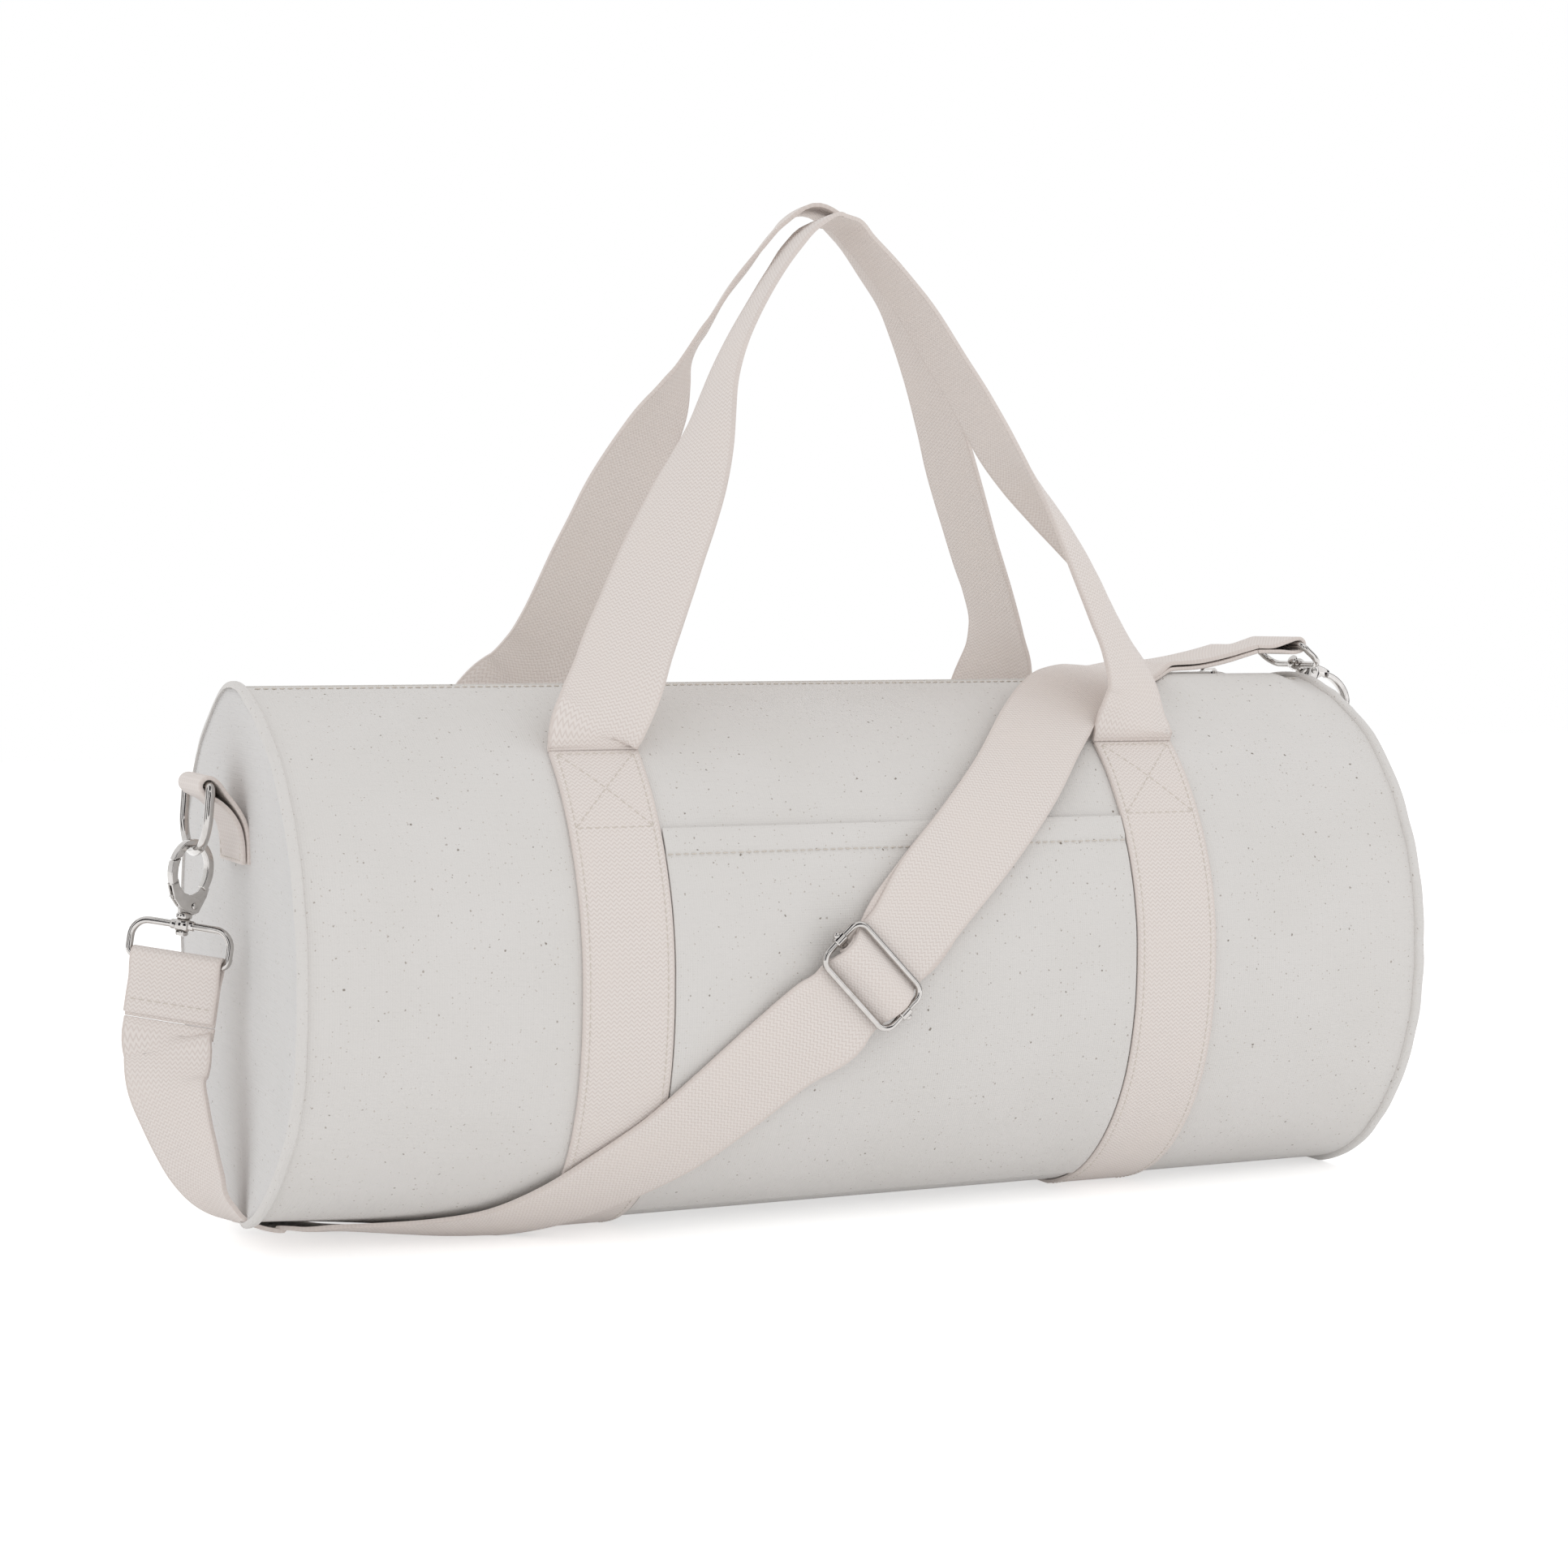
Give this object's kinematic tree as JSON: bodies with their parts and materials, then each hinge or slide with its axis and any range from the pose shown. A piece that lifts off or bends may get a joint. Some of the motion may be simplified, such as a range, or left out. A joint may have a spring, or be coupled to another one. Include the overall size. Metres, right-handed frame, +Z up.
{
  "type": "gym bag",
  "caption": "Barrel-shaped canvas gym bag with a zip along its top, webbing carrying handles, a front pocket, end rings and a clip-on shoulder strap with an adjuster.",
  "frame": {"origin": "middle of the bag, on the flat underside of the canvas between the two bands", "axes": "+X along the barrel towards the bag's right end, -Y towards the front with the pocket, +Z up through the zip"},
  "size_m": [0.5772, 0.2346, 0.4346],
  "materials": {
    "canvas": "natural cotton canvas with sparse brown flecks",
    "webbing": "ribbed cotton webbing",
    "zip_tape": "woven tape",
    "zip_coil": "cream nylon coil",
    "nickel": "polished nickel plate"
  },
  "bodies": {
    "bag": {"body_panel": "canvas", "end_panel_left": "canvas", "end_panel_right": "canvas", "seam_ridge_left": "canvas", "seam_ridge_right": "canvas", "pocket_panel": "canvas", "band_left": "webbing", "band_right": "webbing", "zip_tape_front": "zip_tape", "zip_tape_back": "zip_tape", "zip_coil_front": "zip_coil", "zip_coil_back": "zip_coil", "zip_stop_front": "nickel", "zip_stop_back": "nickel", "tab_left": "webbing", "tab_right": "webbing", "strap_webbing": "webbing", "strap_return": "webbing"},
    "slider": {"zip_slider": "nickel"},
    "puller": {"zip_puller": "nickel"},
    "front_handle": {"handle_front": "webbing"},
    "back_handle": {"handle_back": "webbing"},
    "left_ring": {"ring_left": "nickel"},
    "right_ring": {"ring_right": "nickel"},
    "left_hook": {"hook_left": "nickel", "gate_rivet_left": "nickel", "gate_spring_left": "nickel"},
    "right_hook": {"hook_right": "nickel", "gate_rivet_right": "nickel", "gate_spring_right": "nickel"},
    "left_gate": {"gate_left": "nickel"},
    "right_gate": {"gate_right": "nickel"},
    "left_loop": {"loop_left": "nickel"},
    "right_loop": {"loop_right": "nickel"},
    "left_strap_end": {"strap_end_left": "webbing"},
    "right_strap_end": {"strap_end_right": "webbing"},
    "adjuster": {"adjuster_frame": "nickel", "adjuster_bar": "nickel"}
  },
  "joints": [
    {"name": "zip_slide", "type": "slide", "parent": "bag", "child": "slider", "axis": [1, 0, 0], "range_m": [-0.42, 0], "deforming": ["zip_coil_front", "zip_coil_back", "strap_webbing", "strap_return"]},
    {"name": "zip_puller_swing", "type": "hinge", "parent": "slider", "child": "puller", "pos_m": [0.2047, 0, 0.2255], "axis": [0, 1, 0], "range_deg": [0, 180], "deforming": ["strap_webbing", "strap_return", "strap_end_right"]},
    {"name": "handle_front_swing", "type": "hinge", "parent": "bag", "child": "front_handle", "pos_m": [0, -0.07141, 0.19952], "axis": [1, 0, 0], "range_deg": [0, 130], "deforming": ["strap_webbing", "strap_return"]},
    {"name": "handle_back_swing", "type": "hinge", "parent": "bag", "child": "back_handle", "pos_m": [0, 0.07141, 0.19952], "axis": [-1, 0, 0], "range_deg": [0, 130]},
    {"name": "ring_left_swing", "type": "hinge", "parent": "bag", "child": "left_ring", "pos_m": [-0.266, 0, 0.1846], "axis": [0, 1, 0], "range_deg": [-2, 8]},
    {"name": "hook_left_swing", "type": "hinge", "parent": "left_ring", "child": "left_hook", "pos_m": [-0.26835, 0, 0.1577], "axis": [0, 1, 0], "range_deg": [-3, 4]},
    {"name": "gate_left_open", "type": "hinge", "parent": "left_hook", "child": "left_gate", "pos_m": [-0.26889, 0.00073, 0.13572], "axis": [-0.2389, 0.9703, 0.0378], "range_deg": [0, 14], "stiffness_Nm_per_rad": 0.02},
    {"name": "swivel_left", "type": "hinge", "parent": "left_hook", "child": "left_loop", "pos_m": [-0.27303, 0, 0.12817], "axis": [0.1564, 0, 0.9877], "continuous": true, "deforming": ["strap_webbing", "strap_end_left"]},
    {"name": "strap_twist_left", "type": "hinge", "parent": "bag", "child": "left_strap_end", "pos_m": [-0.27303, 0, 0.12817], "axis": [0.1564, 0, 0.9877], "continuous": true, "deforming": ["strap_webbing", "strap_end_left"]},
    {"name": "ring_right_swing", "type": "hinge", "parent": "bag", "child": "right_ring", "pos_m": [0.266, 0, 0.1846], "axis": [0, 1, 0], "range_deg": [-1, 4]},
    {"name": "hook_right_swing", "type": "hinge", "parent": "right_ring", "child": "right_hook", "pos_m": [0.27568, 0, 0.20981], "axis": [0, 1, 0], "range_deg": [-1, 2]},
    {"name": "gate_right_open", "type": "hinge", "parent": "right_hook", "child": "right_gate", "pos_m": [0.2609, 0, 0.22612], "axis": [0, -1, 0], "range_deg": [0, 14], "stiffness_Nm_per_rad": 0.02},
    {"name": "swivel_right", "type": "hinge", "parent": "right_hook", "child": "right_loop", "pos_m": [0.25277, 0, 0.22903], "axis": [0.766, 0, -0.6428], "range_deg": [-12, 12], "deforming": ["strap_webbing", "strap_return", "strap_end_right"]},
    {"name": "strap_twist_right", "type": "hinge", "parent": "bag", "child": "right_strap_end", "pos_m": [0.25277, 0, 0.22903], "axis": [0.766, 0, -0.6428], "range_deg": [-12, 12], "deforming": ["strap_webbing", "strap_return", "strap_end_right"]},
    {"name": "adjuster_slide", "type": "slide", "parent": "bag", "child": "adjuster", "axis": [0.7314, 0, 0.682], "range_m": [-0.015, 0.015], "deforming": ["strap_webbing", "strap_return"]}
  ],
  "couplings": [
    {"joint": "strap_twist_left", "follows": "swivel_left", "ratio": 1},
    {"joint": "strap_twist_right", "follows": "swivel_right", "ratio": 1}
  ]
}
